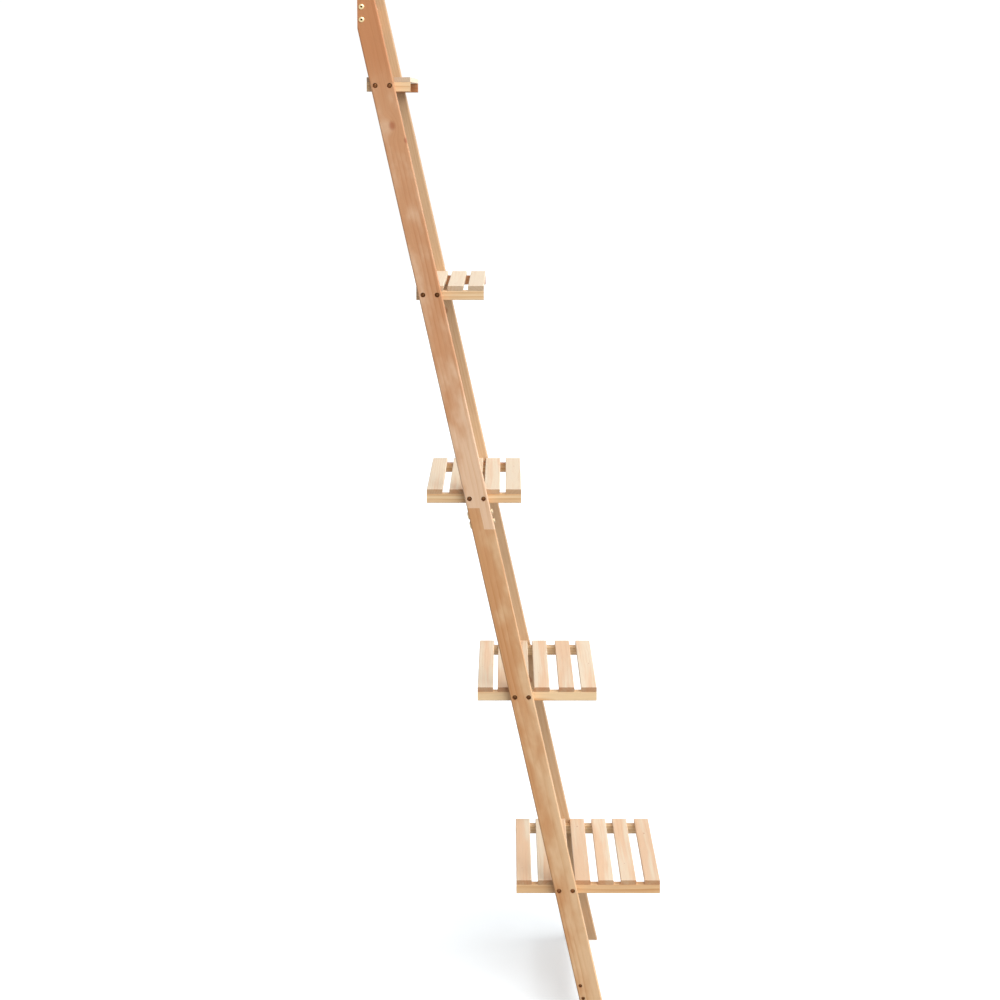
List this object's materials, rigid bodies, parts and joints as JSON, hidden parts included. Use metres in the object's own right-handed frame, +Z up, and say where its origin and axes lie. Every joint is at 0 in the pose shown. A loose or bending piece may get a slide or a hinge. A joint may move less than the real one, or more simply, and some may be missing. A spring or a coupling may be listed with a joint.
{
  "type": "ladder shelf",
  "caption": "Bare wooden ladder shelf that leans on a wall: two raking spliced rails carry slatted shelves that grow deeper towards the floor.",
  "frame": {"origin": "on the floor, under the middle of the shelf's overall box", "axes": "+Z up, +X to the right seen from the front, -Y towards the front, +Y towards the wall"},
  "size_m": [0.4198, 0.5208, 1.8],
  "materials": {
    "rail_cedar": "planed and sanded, unfinished",
    "cross_rail_cedar": "planed and sanded, unfinished",
    "bearer_cedar": "planed and sanded, unfinished",
    "slat_cedar": "planed and sanded, unfinished",
    "bronze_screw": "bronzed",
    "bronze_bolt": "bronzed, satin",
    "zinc_screw": "bright zinc plate"
  },
  "bodies": {
    "root": {"bottom_cross_rail": "cross_rail_cedar", "bottom_cross_rail_screws": "bronze_screw", "lap_bolts": "bronze_bolt", "lap_nuts": "bronze_bolt", "left_lower_rail": "rail_cedar", "left_upper_rail": "rail_cedar", "right_lower_rail": "rail_cedar", "right_upper_rail": "rail_cedar", "shelf_1_left_bearer": "bearer_cedar", "shelf_1_rail_screws": "bronze_screw", "shelf_1_right_bearer": "bearer_cedar", "shelf_1_slat_1": "slat_cedar", "shelf_1_slat_2": "slat_cedar", "shelf_1_slat_screws": "bronze_screw", "shelf_2_left_bearer": "bearer_cedar", "shelf_2_rail_screws": "bronze_screw", "shelf_2_right_bearer": "bearer_cedar", "shelf_2_slat_1": "slat_cedar", "shelf_2_slat_2": "slat_cedar", "shelf_2_slat_3": "slat_cedar", "shelf_2_slat_4": "slat_cedar", "shelf_2_slat_screws": "bronze_screw", "shelf_3_left_bearer": "bearer_cedar", "shelf_3_rail_screws": "bronze_screw", "shelf_3_right_bearer": "bearer_cedar", "shelf_3_slat_1": "slat_cedar", "shelf_3_slat_2": "slat_cedar", "shelf_3_slat_3": "slat_cedar", "shelf_3_slat_4": "slat_cedar", "shelf_3_slat_5": "slat_cedar", "shelf_3_slat_screws": "bronze_screw", "shelf_4_left_bearer": "bearer_cedar", "shelf_4_rail_screws": "bronze_screw", "shelf_4_right_bearer": "bearer_cedar", "shelf_4_slat_1": "slat_cedar", "shelf_4_slat_2": "slat_cedar", "shelf_4_slat_3": "slat_cedar", "shelf_4_slat_4": "slat_cedar", "shelf_4_slat_5": "slat_cedar", "shelf_4_slat_6": "slat_cedar", "shelf_4_slat_screws": "bronze_screw", "shelf_5_left_bearer": "bearer_cedar", "shelf_5_rail_screws": "bronze_screw", "shelf_5_right_bearer": "bearer_cedar", "shelf_5_slat_1": "slat_cedar", "shelf_5_slat_2": "slat_cedar", "shelf_5_slat_3": "slat_cedar", "shelf_5_slat_4": "slat_cedar", "shelf_5_slat_5": "slat_cedar", "shelf_5_slat_6": "slat_cedar", "shelf_5_slat_7": "slat_cedar", "shelf_5_slat_screws": "bronze_screw", "top_cross_rail": "cross_rail_cedar", "top_cross_rail_screws": "zinc_screw"}
  },
  "joints": []
}
